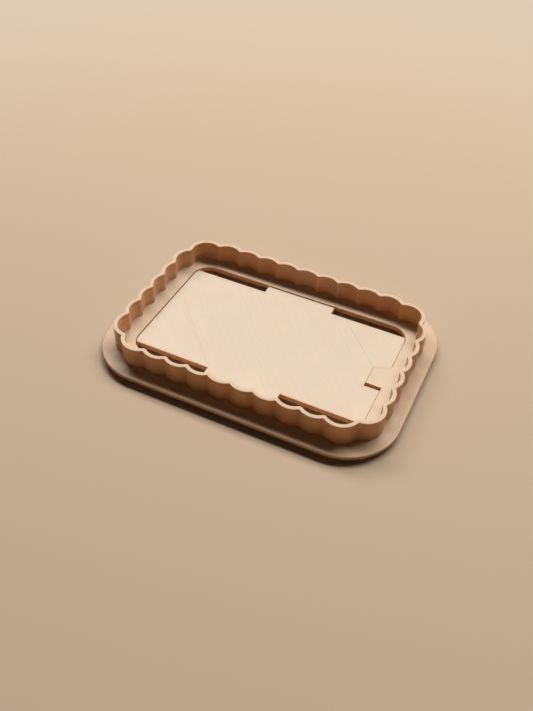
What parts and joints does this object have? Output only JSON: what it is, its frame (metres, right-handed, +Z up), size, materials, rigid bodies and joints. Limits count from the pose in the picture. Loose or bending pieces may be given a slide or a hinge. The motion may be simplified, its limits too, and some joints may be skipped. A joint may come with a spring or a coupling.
{
  "type": "pastry cutter",
  "caption": "Rounded rectangular pastry cutter: thin scalloped cutting wall on a flat flange, with a press plate that slides up through the window.",
  "frame": {"origin": "on the table, under the middle of the flange", "axes": "+X along the long side towards the tongue, +Y across towards the back long side, +Z up towards the cutting edge"},
  "size_m": [0.112, 0.0804, 0.0113],
  "materials": {
    "frame_plastic": "printed in layers, pale beige",
    "plate_plastic": "printed in layers, diagonal lines on the face, pale beige"
  },
  "bodies": {
    "cutter_frame": {"base_flange": "frame_plastic", "cutting_wall": "frame_plastic"},
    "pusher": {"press_plate": "plate_plastic", "push_pad": "plate_plastic"}
  },
  "joints": [
    {"name": "plate_eject", "type": "slide", "parent": "cutter_frame", "child": "pusher", "axis": [0, 0, 1], "range_m": [0, 0.0081]}
  ]
}
